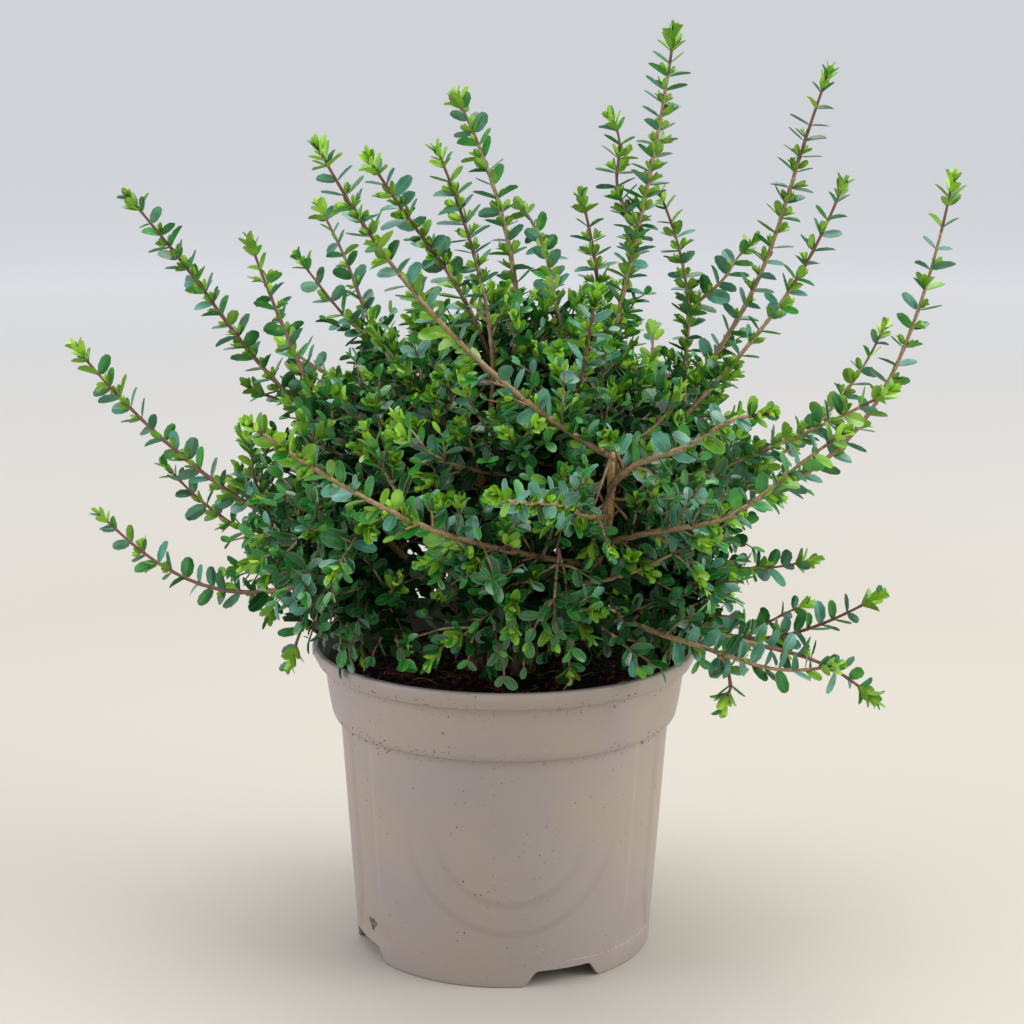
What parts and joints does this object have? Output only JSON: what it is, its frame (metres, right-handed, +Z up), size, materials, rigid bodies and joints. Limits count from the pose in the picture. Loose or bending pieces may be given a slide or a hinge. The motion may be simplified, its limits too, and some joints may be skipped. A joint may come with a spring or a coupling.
{
  "type": "potted box honeysuckle",
  "caption": "Small-leaved evergreen shrub with a dense dome of foliage and long arching shoots, in a round taupe nursery pot of compost.",
  "frame": {"origin": "middle of the pot's foot on the surface that it stands on, which is the bottom centre of the whole plant", "axes": "+Z up; the side shown in the picture faces -Y, with +X to its right"},
  "size_m": [0.4334, 0.4204, 0.448],
  "materials": {
    "pot_plastic": "satin",
    "compost": "matte",
    "bark": "matte",
    "leaf_dark": "satin",
    "leaf_young": "satin"
  },
  "bodies": {
    "root": {"pot": "pot_plastic", "compost": "compost", "stem_1": "bark", "stem_2": "bark", "stem_3": "bark", "stem_4": "bark", "bough_low_1": "bark", "bough_high_1": "bark", "bough_low_2": "bark", "bough_high_2": "bark", "bough_low_3": "bark", "bough_high_3": "bark", "bough_low_4": "bark", "bough_high_4": "bark", "shoot_01": "leaf_young", "shoot_02": "leaf_young", "shoot_03": "leaf_young", "shoot_04": "leaf_young", "shoot_05": "leaf_young", "shoot_06": "leaf_young", "shoot_07": "leaf_young", "shoot_08": "leaf_young", "shoot_09": "leaf_young", "shoot_10": "leaf_young", "shoot_11": "leaf_young", "shoot_12": "leaf_young", "shoot_13": "leaf_young", "shoot_14": "leaf_young", "shoot_15": "leaf_young", "shoot_16": "leaf_young", "shoot_17": "leaf_young", "shoot_18": "leaf_young", "shoot_19": "leaf_young", "shoot_20": "leaf_young", "shoot_21": "leaf_young", "shoot_22": "leaf_young", "shoot_23": "leaf_young", "shoot_24": "leaf_young", "shoot_25": "leaf_young", "shoot_26": "leaf_young", "shoot_27": "leaf_young", "shoot_28": "leaf_young", "shoot_29": "leaf_young", "shoot_30": "leaf_young", "shoot_31": "leaf_young", "shoot_32": "leaf_young", "shoot_33": "leaf_young", "shoot_34": "leaf_young", "foliage_low_1": "leaf_dark", "foliage_low_2": "leaf_dark", "foliage_low_3": "leaf_dark", "foliage_low_4": "leaf_dark", "foliage_low_5": "leaf_dark", "foliage_low_6": "leaf_dark", "foliage_high_1": "leaf_dark", "foliage_high_2": "leaf_dark", "foliage_high_3": "leaf_dark", "foliage_high_4": "leaf_dark", "foliage_top_1": "leaf_dark"}
  },
  "joints": []
}
